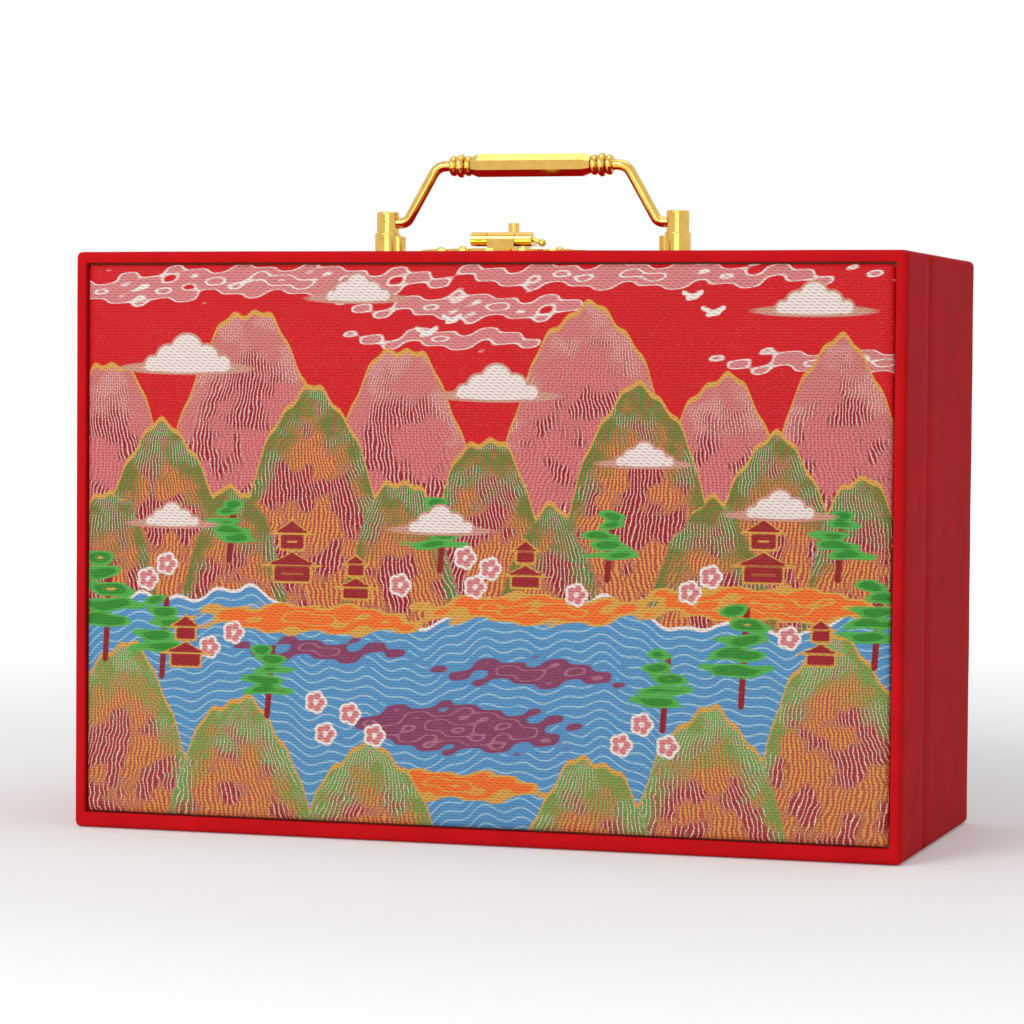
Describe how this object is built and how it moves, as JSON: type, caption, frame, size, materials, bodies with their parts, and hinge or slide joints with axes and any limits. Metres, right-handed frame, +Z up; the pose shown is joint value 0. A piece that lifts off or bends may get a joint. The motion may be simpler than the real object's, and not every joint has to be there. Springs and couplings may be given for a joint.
{
  "type": "brocade gift box",
  "caption": "Upright velvet-covered box with a padded brocade front, a lid hinged along the bottom, a bail handle on two posts and a hasp latch with a turning knob.",
  "frame": {"origin": "middle of the underside of the closed box, measured over its whole box", "axes": "+X to the right seen from the front, +Y to the back, +Z up"},
  "size_m": [0.33, 0.14, 0.2667],
  "materials": {
    "board": "plain fibreboard",
    "velvet": "short red velvet",
    "panel": "plain dark cloth",
    "satin": "satin over thin board",
    "brocade": null,
    "gold": "polished",
    "steel": "plain"
  },
  "bodies": {
    "case": {"case_back": "board", "case_top": "board", "case_base": "board", "case_left": "board", "case_right": "board", "case_velvet": "velvet", "case_panel": "panel", "lining_back": "satin", "lining_top": "satin", "lining_base": "satin", "lining_left": "satin", "lining_right": "satin", "post_left": "gold", "post_right": "gold", "post_screw_left": "steel", "post_screw_right": "steel", "washer_left": "steel", "washer_right": "steel", "catch_plate": "gold", "catch_rivet_1": "gold", "catch_rivet_2": "gold", "catch_rivet_3": "gold", "catch_rivet_4": "gold", "hinge_case_left": "gold", "hinge_case_right": "gold", "hinge_pin_left": "steel", "hinge_pin_right": "steel"},
    "lid": {"lid_front": "board", "lid_top": "board", "lid_base": "board", "lid_left": "board", "lid_right": "board", "lid_velvet": "velvet", "lid_panel": "panel", "brocade_board": "board", "brocade_pad": "brocade", "lid_lining": "satin", "lid_lining_top": "satin", "lid_lining_base": "satin", "lid_lining_left": "satin", "lid_lining_right": "satin", "latch_plate": "gold", "latch_rivet_1": "gold", "latch_rivet_2": "gold", "latch_rivet_3": "gold", "latch_rivet_4": "gold", "hasp_pin": "gold", "hinge_lid_left": "gold", "hinge_lid_right": "gold"},
    "hasp_leaf": {"hasp": "gold"},
    "knob": {"turn_knob": "gold"},
    "bail": {"bail_rod": "gold", "grip": "gold", "ferrule_left": "gold", "ferrule_right": "gold"}
  },
  "joints": [
    {"name": "lid_hinge", "type": "hinge", "parent": "case", "child": "lid", "pos_m": [0, -0.02785, 0.0017], "axis": [1, 0, 0], "range_deg": [0, 100]},
    {"name": "hasp_hinge", "type": "hinge", "parent": "lid", "child": "hasp_leaf", "pos_m": [0, -0.03825, 0.2314], "axis": [1, 0, 0], "range_deg": [0, 150]},
    {"name": "knob_turn", "type": "hinge", "parent": "hasp_leaf", "child": "knob", "pos_m": [0, -0.02315, 0.2314], "axis": [0, 0, 1], "range_deg": [0, 90]},
    {"name": "bail_swing", "type": "hinge", "parent": "case", "child": "bail", "pos_m": [0, 0, 0.2394], "axis": [1, 0, 0], "range_deg": [-110, 75]}
  ]
}
